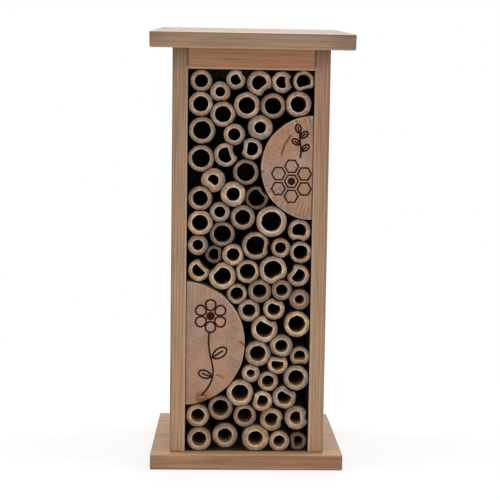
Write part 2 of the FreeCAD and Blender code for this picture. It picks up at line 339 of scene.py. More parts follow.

# %% [markdown]
# ## Sawn pine
#
# Each board was sawn out of a trunk, so its pattern is where the saw cut through the growth rings:
# stripes on the narrow edges, long arches on the broad faces and arcs on the ends. A flat picture
# of grain would not join up at the edges. A ring pattern worked out in three dimensions does: the
# distance from an imagined pith line outside the board, divided by the width of a year's growth.
# Noise that is stretched along the grain bends the rings and adds the fibres. Light and handling
# come last: the arrises on one side get a painted highlight and the others painted shade, a board
# gets painted light and shade from its lower to its upper end and may be dirty at both ends, and
# faces that look up get painted light. The faces inside the box, round the bamboo, are painted
# nearly black, as painted shade.

# %% Growth rings
ring_bend_size = 32 * mm
ring_bend_reach = 3.4 * mm


def years_of_growth(grain, ring_width):
    """Years counted outwards from the pith. The grain runs along Z, and the pith is at the origin."""
    radius = grain.stretched(1, 1, 0).length()
    bends = grain.stretched(1, 1, 0.16).speckle(ring_bend_size)
    return (radius + ring_bend_reach * (bends - 0.5)) / ring_width


def late_wood(years):
    """Dark at the end of each year's growth, with an abrupt change to the next year's pale wood."""
    season = years.math("FRACT", years)
    year = years.math("FLOOR", years)
    strength = years.node("TexWhiteNoise", {"W": year}, noise_dimensions="1D")
    return season.rise(0.25, 0.86) * season.rise(1.0, 0.9) * (0.35 + 0.65 * strength)


print("rings bend by up to", round(ring_bend_reach / 2 / mm, 1), "mm to either side")

# %% The painted shade inside the box
left_low, left_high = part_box("left_side_panel")
right_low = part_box("right_side_panel")[0]
inside_low = Vector((left_high.x, left_low.y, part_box("base_board")[1].z))
inside_high = Vector((right_low.x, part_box("back_panel")[0].y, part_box("front_top_rail")[0].z))
inside_middle = (inside_low + inside_high) / 2
inside_half = (inside_high - inside_low) / 2
clean_depth = 0.8 * mm
dark_depth = 4 * mm
wall_depth = 0.4 * mm


def inside_the_box(here):
    """1 on the faces round the bamboo, from a little way behind the front edges, which get painted shade.
    """
    mask = here.part("Y").rise(inside_low.y + clean_depth, inside_low.y + dark_depth)
    for axis, middle, half in zip("XYZ", inside_middle, inside_half):
        mask *= abs(here.part(axis) - middle).rise(half + 2 * wall_depth, half + wall_depth)
    return mask


print("the opening is", round(2 * inside_half.x / mm, 1), "mm wide")

# %% Sawn faces
fibre_size = 0.8 * mm
streak_size = 3.0 * mm
hue_size = 6 * mm
straw = tone(142, 117, 80)
salmon = tone(164, 112, 84)
fibre_brown = tone(92, 61, 40)
streak_pale = tone(184, 147, 114)


def sawn_pine(grain, early, late, ring_width, patches):
    """The colour of sawn pine, with its late wood, fibres and streaks as shares from 0 to 1."""
    late_share = late_wood(years_of_growth(grain, ring_width))
    fibres = grain.stretched(1, 1, 0.022).speckle(fibre_size, 3.0)
    streaks = grain.stretched(1, 1, 0.03).speckle(streak_size)
    hues = grain.stretched(1, 1, 0.12).speckle(hue_size)
    colour = layered(
        early,
        (late_share * 0.70, late),
        (hues.rise(0.52, 0.70) * patches, straw),
        (hues.rise(0.48, 0.30) * patches, salmon),
        (fibres.rise(0.40, 0.75) * 0.40, fibre_brown),
        (streaks.rise(0.50, 0.72) * 0.40, streak_pale),
    )
    return colour, late_share, fibres, streaks


print("fibres of", round(fibre_size / mm, 1), "mm and streaks of", round(streak_size / mm, 1), "mm")

# %% Painted light and shade on the arrises
arris_width = (1.3 * mm, 0.3 * mm)
lit_arris_width = (1.8 * mm, 0.8 * mm)
rail_margin = (2.0 * mm, 1.4 * mm)
# painted shade on most arrises, and a painted highlight on the arrises of one side
shaded_arris = tone(80, 66, 52)
lit_arris = tone(190, 170, 155)


def edge_distance(place, half):
    """How far a point of a board's surface lies from the nearest edge, measured from its middle."""
    inside = [reach - abs(place.part(axis)) for axis, reach in zip("XYZ", half)]
    low = inside[0].least(inside[1])
    high = inside[0].most(inside[1])
    return low.most(high.least(inside[2]))


def arris_light_and_shade(place, half, here, lit_side, pale, lit_below):
    """The tone of the arrises: a painted highlight on one side of the board, and painted shade on the
    others.
    """
    reach = half.dot([abs(share) for share in lit_side])
    lit_edge = place.along(lit_side).rise(*[reach - width for width in lit_arris_width])
    if lit_below:
        lit_edge *= here.part("Z").rise(*[lit_below + margin for margin in rail_margin])
    return blend(lit_edge, shaded_arris, pale)


# the painted highlight and shade on the arrises reach this far
print("arrises are worn over", round(arris_width[0] / mm, 1), "mm")

# %% The finish of one board
along_x = Matrix.Rotation(math.radians(-90), 3, "Y")
along_z = Matrix.Identity(3)
front_light_width = 22 * mm
stain_length = 20 * mm
end_dirt = tone(84, 54, 38)
end_brown = tone(112, 82, 58)
painted_inside_shade = tone(10, 8, 6)
pine_relief = 0.10 * mm


def box_of(points):
    """The lowest and the highest corner round some points."""
    return [Vector([pick(point[i] for point in points) for i in range(3)]) for pick in (min, max)]


def refinish(node, material):
    """Gives a CAD node another finish."""
    finishes = nodes[node].data.materials
    finishes.clear()
    finishes.append(material)


def pine(node, grain_turn, pith, early, late, ring_width, slope=0.0, lean=1.2, sheen=0.0,
         patches=0.55, painted_shading=None, lit_side=None, pale=lit_arris, lit_below=None,
         lit_top=None, lit_front_strip=None, stained_ends=(0.0, 0.0)):
    """Gives a board its finish. The pith line is an offset from the board's middle, in metres.

    Patches says how much its hue varies, and a pair of tints paints light and shade from its lower to
    its upper end. The arris on the given side gets a painted highlight, below a height if one is given,
    and the others get painted shade. The two top tones are painted light on a face that looks up, the
    second along the front. Stained_ends says how dirty the left and the right end are.
    """
    level = Matrix.Rotation(-slope, 3, "X")
    low, high = box_of([level @ vert.co for vert in nodes[node].data.vertices])
    middle = (low + high) / 2
    half = (high - low) / 2

    material, here = new_finish("pine_" + node)
    board = here.node("Mapping", {"Vector": here, "Rotation": (-slope, 0, 0)})
    turn = Matrix.Rotation(math.radians(lean), 3, "X") @ grain_turn
    start = turn @ -(middle + Vector(pith))
    grain = board.node("Mapping", {"Vector": board, "Location": start, "Rotation": turn.to_euler()})
    colour, late_share, fibres, streaks = sawn_pine(grain, early, late, ring_width, patches)

    facing = here.node("TexCoord", {}, output="Normal")
    end_grain = abs(facing.along(grain_turn.inverted() @ Vector((0, 0, 1)))).rise(0.6, 0.9)
    colour = blend(end_grain * 0.40, colour, end_brown)
    if painted_shading:
        # painted light and shade from the lower to the upper end of the board
        colour = tinted(colour, blend(board.part("Z").rise(low.z, high.z), *painted_shading))
    if any(stained_ends):
        left_dirt = board.part("X").rise(low.x + stain_length, low.x) * stained_ends[0]
        right_dirt = board.part("X").rise(high.x - stain_length, high.x) * stained_ends[1]
        colour = blend(left_dirt + right_dirt, colour, end_dirt)
    # painted light on faces that look up, with a tone of its own along the front
    if lit_top:
        lit_upper_face = facing.part("Z").rise(0.3, 0.7)
        colour = blend(lit_upper_face * (0.55 - 0.45 * late_share), colour, lit_top)
        front_light_strip = board.part("Y").rise(low.y + front_light_width, low.y)
        colour = blend(lit_upper_face * front_light_strip * 0.7, colour, lit_front_strip)
    centred = board.vector("SUBTRACT", middle)
    arris = edge_distance(centred, half).rise(*arris_width) * (0.5 + 0.6 * streaks)
    # the arrises get a painted highlight on one side and painted shade on the others
    worn = arris_light_and_shade(centred, half, here, lit_side, pale, lit_below) if lit_side else shaded_arris
    colour = blend(arris * 0.55, colour, worn)
    # painted shade: the faces inside the box are made nearly black
    colour = blend(inside_the_box(here) * 0.96, colour, painted_inside_shade)

    roughness = 0.58 + 0.16 * fibres + 0.08 * end_grain
    height = fibres * 0.7 + late_share * 0.4
    give(material, colour, roughness, height, pine_relief, sheen=sheen)
    refinish(node, material)
    return material.name


# the strip along the front is painted light
print("the front of the roof is bleached over", round(front_light_width / mm), "mm")

# %% Boards
roof_slope = math.radians(9.0)
opening_top = inside_high.z

# early wood and late wood
pale_pine = (tone(165, 131, 101), tone(114, 80, 55))
grey_pine = (tone(151, 122, 95), tone(124, 96, 71))
red_pine = (tone(148, 107, 74), tone(100, 64, 40))
rail_pine = (tone(180, 128, 92), tone(160, 106, 74))

# painted light and shade: tints of the lower and of the upper end
panel_painted_shading = ((1.12, 1.11, 1.10, 1), (0.84, 0.85, 0.84, 1))
rail_painted_shading = ((0.88, 0.82, 0.75, 1), (1.26, 1.41, 1.40, 1))

boards = [
    pine("base_board", along_x, (0.0, 12 * mm, -44 * mm), *red_pine, ring_width=2.6 * mm,
         lit_side=(0, -1, 1), pale=tone(172, 138, 104), lit_top=tone(168, 130, 88),
         lit_front_strip=tone(172, 134, 98), stained_ends=(0.28, 0.14)),
    pine("left_side_panel", along_z, (52 * mm, -20 * mm, 0.0), *pale_pine, ring_width=1.9 * mm,
         painted_shading=panel_painted_shading, lit_side=(1, -1, 0), lit_below=opening_top),
    pine("right_side_panel", along_z, (-61 * mm, -24 * mm, 0.0), *pale_pine, ring_width=1.8 * mm,
         lean=-1.0, painted_shading=panel_painted_shading, lit_side=(-1, -1, 0), lit_below=opening_top),
    pine("front_top_rail", along_x, (0.0, 6 * mm, -30 * mm), *rail_pine, ring_width=3.4 * mm,
         patches=0.3, painted_shading=rail_painted_shading, lit_side=(0, -1, -1)),
    pine("back_panel", along_z, (15 * mm, -60 * mm, 0.0), *grey_pine, ring_width=2.2 * mm, lean=0.8),
    pine("roof_board", along_x, (0.0, 14 * mm, -58 * mm), *grey_pine, ring_width=2.4 * mm,
         slope=roof_slope, sheen=0.12, lit_side=(0, -1, -1), pale=tone(205, 166, 134),
         lit_top=tone(156, 138, 120), lit_front_strip=tone(214, 194, 172), stained_ends=(0.30, 0.34)),
]
print("boards:", boards)

# %% [markdown]
# ## Wire nails
#
# The boards are held by plain wire nails, whose small round heads lie just under the surface. Their
# solids are right as they are. Bright drawn steel would look new, so the finish has dull patches of
# the grey oxide that a nail soon gets.

# %% Nails
oxide_size = 1.2 * mm
drawn_size = 0.25 * mm
nail_relief = 0.02 * mm


def nail_steel():
    """The dull grey of a wire nail, which is the same on all nails."""
    material, here = new_finish("dull_wire_steel")
    cloud = here.speckle(oxide_size, 3.0)
    drawn = here.speckle(drawn_size, 1.0)
    colour = blend(cloud.rise(0.4, 0.7), tone(168, 170, 172), tone(118, 116, 114))
    return give(material, colour, 0.32 + 0.25 * cloud, drawn, nail_relief, metallic=1.0)


nail_nodes = [name for name in nodes if name.endswith("_nails")]
steel = nail_steel()
for name in nail_nodes:
    refinish(name, steel)
print("nails:", nail_nodes)

# %% [markdown]
# ## Lengths of bamboo
#
# Each length was cut across with a saw and tumbled, so its outer edge is well rounded, its cut face
# is slightly uneven, and its bore has a small chamfer. Many are grooved along one side, where a
# branch grew. A lathe shape could not have the groove. So rays are sent out from the middle of each
# solid's bore, which give the distance to the bore's wall and to the skin all the way round. A
# circle is then extruded edge by edge along a profile through the wall: up the skin, over the cut
# face, and back along the bore. Each new loop of points is moved to its share of the wall. The real
# lengths are pressed together, so a skin swells a little where there is room beside it. A groove
# draws the bore in less than the skin, so the wall is thin there.

# %% Finding the bamboo in its solids
turns = 96
angles = [2 * math.pi * k / turns for k in range(turns)]
directions = [Vector((math.cos(angle), 0, math.sin(angle))) for angle in angles]
widest_gap = 4.0 * mm
room_share = 0.40
ray_start = 0.02 * mm
thin_skin = 0.05 * mm
weld = 0.001 * mm
usual_swell = 0.34 * mm
skin_ease = 0.5
bore_ease = 0.9
thinnest_wall = 0.36
everything = bmesh.new()
for held in nodes.values():
    everything.from_mesh(held.data)
all_solids = BVHTree.FromBMesh(everything)
everything.free()


def loose_solids(bm):
    """The separate solids of a merged mesh, each as a list of its vertices, in the mesh's order."""
    waiting = set(bm.verts)
    for first in bm.verts:
        edge = [first] if first in waiting else []
        waiting -= set(edge)
        solid = []
        while edge:
            vert = edge.pop()
            solid.append(vert)
            near = {e.other_vert(vert) for e in vert.link_edges} & waiting
            waiting -= near
            edge += near
        if solid:
            yield solid


def clear_room(centre, direction, skin):
    """How much a skin may swell in a direction, so that it comes close to what lies beside it."""
    start = centre + direction * (skin + ray_start)
    hit = all_solids.ray_cast(start, direction, widest_gap)[0]
    return room_share * ((hit - start).length if hit else widest_gap)


def bridged(distances):
    """Distances to an outline in every direction, with its hollow spanned straight as by a band."""
    outline = [direction.xz * reach for direction, reach in zip(directions, distances)]
    held = set(geometry.convex_hull_2d(outline))
    spanned = list(distances)
    for step in set(range(turns)) - held:
        before = next(k for k in range(step - 1, step - turns, -1) if k % turns in held) % turns
        after = next(k for k in range(step + 1, step + turns) if k % turns in held) % turns
        span = outline[after] - outline[before]
        spanned[step] = outline[before].cross(span) / directions[step].xz.cross(span)
    return spanned


def eased_wall(centre, wall):
    """The wall with its skin swollen where there is room, and a groove that draws the bore in less."""
    eased = []
    for direction, (bore, skin), wide_bore, wide_skin in zip(
        directions, wall, bridged([bore for bore, skin in wall]), bridged([skin for bore, skin in wall])
    ):
        swell = max(usual_swell, skin_ease * (wide_skin - skin))
        new_skin = skin + min(swell, clear_room(centre, direction, skin))
        new_bore = bore + bore_ease * (wide_bore - bore)
        eased.append((min(new_bore, new_skin - thinnest_wall * (skin - bore)), new_skin))
    return eased


def wall_round(tree, centre):
    """The distances from a point in the bore to the bore's wall and to the skin, in every direction."""
    wall = []
    for direction in directions:
        bore = tree.ray_cast(centre, direction)[0]
        skin = tree.ray_cast(bore + direction * thin_skin, direction)[0]
        wall.append(((bore - centre).length, (skin - centre).length))
    return wall


def bamboo_in(node):
    """Each length of bamboo in a node: its middle, the y of its two ends, and its wall."""
    bm = bmesh.new()
    bm.from_mesh(nodes[node].data)
    bmesh.ops.remove_doubles(bm, verts=bm.verts, dist=weld)
    tree = BVHTree.FromBMesh(bm)
    found = []
    for solid in loose_solids(bm):
        low, high = box_of([vert.co for vert in solid])
        centre = (low + high) / 2
        hits = [d * bore for d, (bore, skin) in zip(directions, wall_round(tree, centre))]
        centre += sum(hits, Vector()) / turns
        found.append((centre, low.y, high.y, eased_wall(centre, wall_round(tree, centre))))
    bm.free()
    return found


tube_nodes = sorted(name for name in nodes if "_tube" in name)
print(len(tube_nodes), "nodes of bamboo")

# %% The profile through the wall
# share of the wall from the bore (0) to the skin (1), and depth behind the cut face in millimetres
skin_profile = [(1.0, 40), (1.0, 15), (1.0, 6), (1.0, 2.6)]
edge_profile = [(0.99, 1.4), (0.96, 0.8), (0.905, 0.38), (0.84, 0.14), (0.77, 0.03)]
face_profile = [(0.70, 0.0), (0.55, 0.06), (0.40, 0.08), (0.25, 0.05), (0.12, 0.03)]
chamfer_profile = [(0.045, 0.10), (0.01, 0.32), (0.0, 0.8)]
bore_profile = [(0.0, 2), (0.0, 5), (0.0, 10), (0.0, 20), (0.0, 40)]
wall_profile = skin_profile + edge_profile + face_profile + chamfer_profile + bore_profile
print(len(wall_profile), "loops of points along the wall")

# %% [markdown]
# ## No two lengths alike
#
# An even tube looks turned. A real length is a little dented, its saw cut is slanted and chipped, and
# it is young and pale or old and dark. Each length could be sculpted by hand. Here smooth noise
# round the tube moves its points, and chance with a fixed seed settles the rest, so that each
# run gives the same lengths. A few that are clearly dark or pale in the photograph are marked by place.

# %% Ages
# x and z, in millimetres, of the lengths that are clearly darker or paler than the rest, by their age
marked_ages = {
    1.0: [(-21, 130), (32, 15), (4, 165)],
    0.87: [(-16, 143), (7, 109), (-3, 181), (20, 110), (13, 221), (-1, 31), (31, 104), (-16, 36)],
    0.0: [(13, 151), (30, 89), (-16, 118), (-10, 131), (-10, 167), (15, 122), (10, 86), (-30, 150),
          (9, 41), (-4, 46)],
}
mark_reach = 4.0


def age_at(centre, usual):
    """The age, from 0 to 1, of a length that is marked at that place, or else the usual one."""
    for age, places in marked_ages.items():
        if any((centre.xz / mm - Vector(place)).length < mark_reach for place in places):
            return age
    return usual


print(sum(len(places) for places in marked_ages.values()), "lengths have a marked age")

# %% Unevenness
# height in millimetres, a number of its own, and how many times it changes round the tube
skin_waves = [(0.12, 0, 1.3), (0.10, 30, 3.6)]
bore_waves = [(0.16, 50, 2.2), (0.14, 70, 5.0)]
face_waves = [(0.14, 90, 2.6)]
chip_waves = [(1.0, 110, 9.0)]
frayed_waves = [(1.0, 130, 6.5)]
skin_inset = 0.08
bore_inset = 0.10
face_inset = 0.16
fray_start = 0.1
fray_depth = 0.45
cut_reach = 6.0
chip_reach = 9
chip_start = 0.55
rounded_from = 0.6
seed_step = 7.3
slant_spread = 0.018
rounding_range = (0.35, 0.85)
age_range = (0.2, 0.75)
chip_spread = 1.1


class Growth:
    """How one length of bamboo differs from an even tube."""

    def __init__(self, seed, centre):
        chance = random.Random(seed)
        self.seed = seed * seed_step
        self.slant = Vector((chance.gauss(0, slant_spread), 0, chance.gauss(0, slant_spread)))
        self.rounding = chance.uniform(*rounding_range)
        self.tint = chance.random()
        self.age = age_at(centre, chance.uniform(*age_range))
        self.chip_step = chance.randrange(turns)
        self.chip_depth = max(0.0, chance.gauss(0.0, chip_spread))

    def uneven(self, step, waves):
        """Smooth noise round the tube, without a seam."""
        points = [directions[step] * size + Vector((0, self.seed + own, 0)) for height, own, size in waves]
        return sum(wave[0] * noise.noise(point) for wave, point in zip(waves, points))

    def chip(self, step, share):
        """How far the saw broke the outer edge away there, in millimetres."""
        apart = abs((step - self.chip_step + turns / 2) % turns - turns / 2)
        broken = max(0.0, 1 - apart / chip_reach) * (1 + self.uneven(step, chip_waves))
        return self.chip_depth * min(1.0, broken) * max(0.0, share - chip_start) / (1 - chip_start)

    def place(self, centre, front, wall, step, share, depth):
        """Where the point of that step, share of the wall and depth lies."""
        bore, skin = wall[step]
        near_cut = max(0.0, 1 - depth / cut_reach)
        frayed = near_cut * max(0.0, self.uneven(step, frayed_waves) - fray_start)
        skin -= (skin_inset + self.uneven(step, skin_waves) + fray_depth * frayed) * mm
        bore += (bore_inset + self.uneven(step, bore_waves)) * mm
        reach = bore + share * (skin - bore)
        back = depth * (self.rounding if rounded_from < share < 1 else 1.0)
        back += near_cut * (face_inset + self.uneven(step, face_waves) + self.chip(step, share))
        point = centre + directions[step] * reach
        slant = near_cut * self.slant.dot(directions[step]) * reach
        return Vector((point.x, front + back * mm + slant, point.z))


print("a cut edge is uneven to a depth of", cut_reach, "mm")

# %% Growing one length
tube_attributes = ("share", "depth", "tint", "age", "chip")


def only(kind, items):
    """Those of an operator's results that are of one kind."""
    return [item for item in items if isinstance(item, kind)]


def grow_bamboo(bm, growth, centre, front, back, wall):
    """Adds one length of bamboo to the mesh, as loops of points that follow the profile."""
    number = bm.verts.layers.int["step"]
    layers = [bm.verts.layers.float[name] for name in tube_attributes]
    length = (back - front) / mm
    profile = [(1.0, length)] + wall_profile + [(0.0, length)]
    verts = bmesh.ops.create_circle(bm, segments=turns, radius=1.0)["verts"]
    for step, vert in enumerate(verts):
        vert[number] = step
    rim = list(dict.fromkeys(edge for vert in verts for edge in vert.link_edges))
    back_edges = list(rim)
    for share, depth in profile:
        if (share, depth) != profile[0]:
            grown = bmesh.ops.extrude_edge_only(bm, edges=rim)["geom"]
            verts = only(bmesh.types.BMVert, grown)
            rim = only(bmesh.types.BMEdge, grown)
        for vert in verts:
            vert.co = growth.place(centre, front, wall, vert[number], share, depth)
            chip = growth.chip(vert[number], share)
            for layer, value in zip(layers, (share, depth * mm, growth.tint, growth.age, chip)):
                vert[layer] = value
    bmesh.ops.bridge_loops(bm, edges=back_edges + rim)


def finished_piece(bm, name, material, slot, *replaced):
    """Turns a mesh into a smooth piece of the object, which may stand for nodes."""
    bmesh.ops.recalc_face_normals(bm, faces=bm.faces)
    mesh = bpy.data.meshes.new(name)
    bm.to_mesh(mesh)
    bm.free()
    mesh.shade_smooth()
    mesh.materials.append(material)
    piece = bpy.data.objects.new(name, mesh)
    bpy.context.collection.objects.link(piece)
    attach(piece, "root")
    if replaced:
        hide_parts(*replaced)
    return piece


print("each point knows its", tube_attributes)

# %% [markdown]
# ## The finish of bamboo
#
# On a cut end the wall is pale and soft towards the bore and darker towards the skin, where the
# fibres stand closest. The skin is a dark yellowish brown, partly its own colour and partly painted
# shade. The bore is pale near the mouth and dark brown further in, a darkening that is painted shade,
# and deeper in, skin and bore are painted nearly black as painted shade. The points of the mesh know
# their share of the wall and their depth, so the finish reads these as attributes, and each length
# has its own tint and age. Old ones are dark and dirty, part of each outer edge is grimy, and lengths
# higher up are greyer.

# %% The cut end
# share of the wall from the bore to the skin, and the tone of the wood there
wall_tones = [
    (0.0, tone(216, 198, 175)), (0.11, tone(212, 193, 169)), (0.22, tone(188, 164, 140)),
    (0.48, tone(175, 151, 129)), (0.74, tone(160, 138, 120)), (0.88, tone(142, 121, 104)),
    (0.96, tone(120, 98, 80)), (1.0, tone(92, 71, 54)),
]
shade_tint = (0.70, 0.68, 0.66, 1)
blush_size = 2.6 * mm
shade_size = 4.5 * mm
grime_size = 6 * mm


def cut_end(here, bundles, clouds, share, tint, age, chip):
    """The colour of a sawn end, from its wall's tones, growth lines, fibre bundles and blotches."""
    blotched = here.stretched(1, 0.3, 1)
    blushes = blotched.speckle(blush_size)
    shades = blotched.speckle(shade_size)
    across = share * (0.80 + 0.34 * age) + 0.14 * (clouds - 0.5)
    years = share * 4.2 + clouds * 1.1 + tint * 3.0
    season = years.math("FRACT", years)
    lines = season.rise(0.0, 0.3) * season.rise(0.65, 0.35) * share.rise(0.22, 0.36)
    grime = blotched.speckle(grime_size).rise(0.47, 0.62) * share.rise(0.45, 1.0)
    cut = layered(
        share.node("ValToRGB", {0: across}, stops=wall_tones),
        (lines * shades.rise(0.30, 0.60) * 0.75, tone(112, 88, 71)),
        (bundles.rise(0.46, 0.64) * share.rise(0.15, 0.6) * 0.70, tone(92, 70, 53)),
        (blushes.rise(0.52, 0.70) * 0.6, tone(176, 128, 92)),
        (blushes.rise(0.44, 0.28) * 0.5, tone(152, 142, 128)),
    )
    return layered(
        tinted(cut, shade_tint, shades.rise(0.34, 0.62)),
        (age.rise(0.78, 0.95) * share.rise(0.2, 0.7) * 0.6, tone(142, 104, 77)),
        (chip.rise(0.15, 0.7) * 0.8, tone(58, 38, 25)),
        (grime * 0.65, tone(88, 64, 47)),
    )


print("the wall has", len(wall_tones), "tones")

# %% Bamboo finish
yellow_tinge = (1.0, 0.935, 0.77, 1)
pink_tinge = (1.0, 0.915, 0.87, 1)
grey_tinge = (0.97, 0.95, 0.94, 1)
low_tint = (1.08, 1.08, 1.08, 1)
high_tint = (0.99, 1.02, 1.06, 1)
low_and_high = (20 * mm, 220 * mm)
young_tint = (1.09, 1.08, 1.08, 1)
old_tint = (0.72, 0.71, 0.71, 1)
oldest_tint = (0.50, 0.46, 0.44, 1)
bundle_size = 0.8 * mm
cloud_size = 3.5 * mm
dirt_size = 2.2 * mm
bamboo_relief = 0.16 * mm


def bamboo():
    """The finish of all the bamboo: its cut ends, skins and bores, tinted by chance, height and age."""
    material, here = new_finish("cut_bamboo")
    share, depth, tint, age, chip = [
        here.node("Attribute", {}, output="Fac", attribute_name=name) for name in tube_attributes
    ]
    bundles = here.stretched(1, 0.05, 1).speckle(bundle_size, 3.0)
    clouds = here.speckle(cloud_size)
    cut = cut_end(here, bundles, clouds, share, tint, age, chip)
    # the skin's dark brown is partly painted shade
    skin = blend(clouds.rise(0.35, 0.7), tone(120, 96, 64), tone(88, 68, 44))
    # painted shade: the bore darkens from the mouth inwards
    bore = blend(depth.rise(0.5 * mm, 10 * mm), tone(208, 168, 122), tone(88, 58, 32))
    inner = blend(share.rise(0.2, 0.5), bore, skin)
    colour = blend(depth.rise(0.5 * mm, 1.3 * mm), cut, inner)
    tinge = blend(tint.rise(0.10, 0.36), yellow_tinge, pink_tinge)
    colour = tinted(colour, blend(tint.rise(0.50, 0.85), tinge, grey_tinge))
    colour = tinted(colour, blend(here.part("Z").rise(*low_and_high), low_tint, high_tint))
    colour = tinted(colour, blend(age, young_tint, old_tint))
    colour = tinted(colour, oldest_tint, age.rise(0.80, 1.0))
    dirt = here.speckle(dirt_size, 4.0).rise(0.60, 0.74) * age.rise(0.3, 0.9)
    # painted shade: skin and bore turn nearly black behind the cut
    gloom = depth.rise(0.6 * mm, 4 * mm) * share.rise(0.2, 0.5)
    gloom = gloom.most(depth.rise(4 * mm, 18 * mm))
    colour = layered(colour, (dirt * 0.5, tone(92, 66, 46)), (gloom * 0.97, tone(12, 9, 6)))
    roughness = 0.55 + 0.2 * bundles
    return give(material, colour, roughness, bundles * 0.8 + clouds * 0.6, bamboo_relief)


bamboo_finish = bamboo()
print(bamboo_finish.name, "has", len(bamboo_finish.node_tree.nodes), "nodes")

# %% All the bamboo
lengths = 0
for node in tube_nodes:
    bm = bmesh.new()
    bm.verts.layers.int.new("step")
    for name in tube_attributes:
        bm.verts.layers.float.new(name)
    for solid in bamboo_in(node):
        lengths += 1
        grow_bamboo(bm, Growth(lengths, solid[0]), *solid)
    finished_piece(bm, "bamboo_" + node, bamboo_finish, "bamboo", node)
print(lengths, "lengths of bamboo")

# %% [markdown]
# ## Half logs
#
# Two logs were sawn lengthwise and fastened to the side panels by the flat side, so their round
# ends show. A thin log is never a true circle, and the saw leaves a slightly worn edge. A disc is
# cut in half along the flat side, extruded to its length, bevelled at the front edge, and its round
# side is then moved in a little here and there.

# %% Shaping a half log
log_edge = 0.6 * mm
log_segments = 192
log_dent = 0.35 * mm
log_dent_size = 11 * mm
same_place = 0.01 * mm
facing_front = Matrix.Rotation(math.radians(90), 4, "X")


def half_log(node, side, pith, radius, material):
    """Side is +1 for a log whose round side points right, and -1 for one that points left."""
    low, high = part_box(node)
    flat = low.x if side > 0 else high.x
    bm = bmesh.new()
    upright = Matrix.Translation((pith.x, low.y, pith.z)) @ facing_front
    bmesh.ops.create_circle(bm, segments=log_segments, radius=radius, cap_ends=True, matrix=upright)
    bmesh.ops.bisect_plane(bm, geom=bm.verts[:] + bm.edges[:] + bm.faces[:], plane_co=(flat, 0, 0),
                           plane_no=(side, 0, 0), clear_inner=True)
    grown = bmesh.ops.extrude_face_region(bm, geom=bm.faces[:], use_keep_orig=True)["geom"]
    ends = only(bmesh.types.BMVert, grown)
    bmesh.ops.translate(bm, vec=(0, high.y - low.y, 0), verts=ends)
    bmesh.ops.recalc_face_normals(bm, faces=bm.faces)
    front = [e for e in bm.edges if all(abs(v.co.y - low.y) < same_place for v in e.verts)]
    bmesh.ops.bevel(bm, geom=front, offset=log_edge, affect="EDGES", segments=3, profile=0.5, material=-1)
    for vert in bm.verts:
        spoke = Vector((vert.co.x - pith.x, 0, vert.co.z - pith.z))
        dent = log_dent * (1 + noise.noise(spoke / log_dent_size + Vector((0, side * 3.1, 0))))
        shrink = 1 - dent / radius * (spoke.length / radius) ** 6
        vert.co.z = pith.z + spoke.z * shrink
        vert.co.x = flat if abs(vert.co.x - flat) < log_edge else pith.x + spoke.x * shrink
    return finished_piece(bm, node + "_wood", material, "log_end_grain", node)


print("a log's front edge is worn by", round(log_edge / mm, 1), "mm")

# %% [markdown]
# ## The finish of end grain
#
# A sawn end shows the growth rings round the pith, but the saw blurs them, so they are faint here.
# Rays run out from the pith and are clearest near the rim, drying leaves short cracks, and sap and
# damp leave stains. Rings and rays need the distance and the angle from the pith, so the finish
# works out both from the object's coordinates.


# %% Cracks and stains
def on_log(x, z):
    """A point on the end of a log, from its x and z in millimetres from the pith."""
    return Vector((x, 0, z)) * mm


def line_mark(flat, start, end, width):
    """1 along a straight line between two points, and 0 away from it."""
    run = on_log(*end) - on_log(*start)
    ahead = flat.vector("SUBTRACT", on_log(*start))
    share = ahead.along(run / run.length_squared).least(1.0).most(0.0)
    nearest = ahead.node("VectorMath", {0: run, "Scale": share}, operation="SCALE")
    return ahead.distance(nearest).rise(width * mm, width * mm * 0.45)


def crack_marks(flat, cracks):
    """1 in the cracks, each of which has two ends and a width, in millimetres."""
    split = line_mark(flat, *cracks[0])
    for crack in cracks[1:]:
        split = split.most(line_mark(flat, *crack))
    return split


def stained(colour, flat, stains):
    """The colour with stains: place, size and speck size in millimetres, tone and strength."""
    for place, size, speck, stain_tone, strength in stains:
        near = (1 - flat.distance(on_log(*place)) / (size * mm)).rise(0.0, 0.6)
        blot = near * flat.speckle(speck * mm, 4.0).rise(0.38, 0.54)
        colour = blend(blot * strength, colour, stain_tone)
    return colour


print("one millimetre on a log is", on_log(1, 0).length, "m")

# %% End grain
log_ring_width = 1.7 * mm
log_ring_bend = 3.0 * mm
log_bend_size = 14 * mm
ray_size = 1.1 * mm
mottle_size = 9 * mm
patch_sizes = (13 * mm, 5 * mm, 3 * mm)
grit_size = 0.8 * mm
rim_width = (1.1 * mm, 0.7 * mm)
joint_width = (0.8 * mm, 0.3 * mm)
log_dusk = (inside_low.y + 4 * mm, inside_low.y + 20 * mm)
log_relief = 0.14 * mm


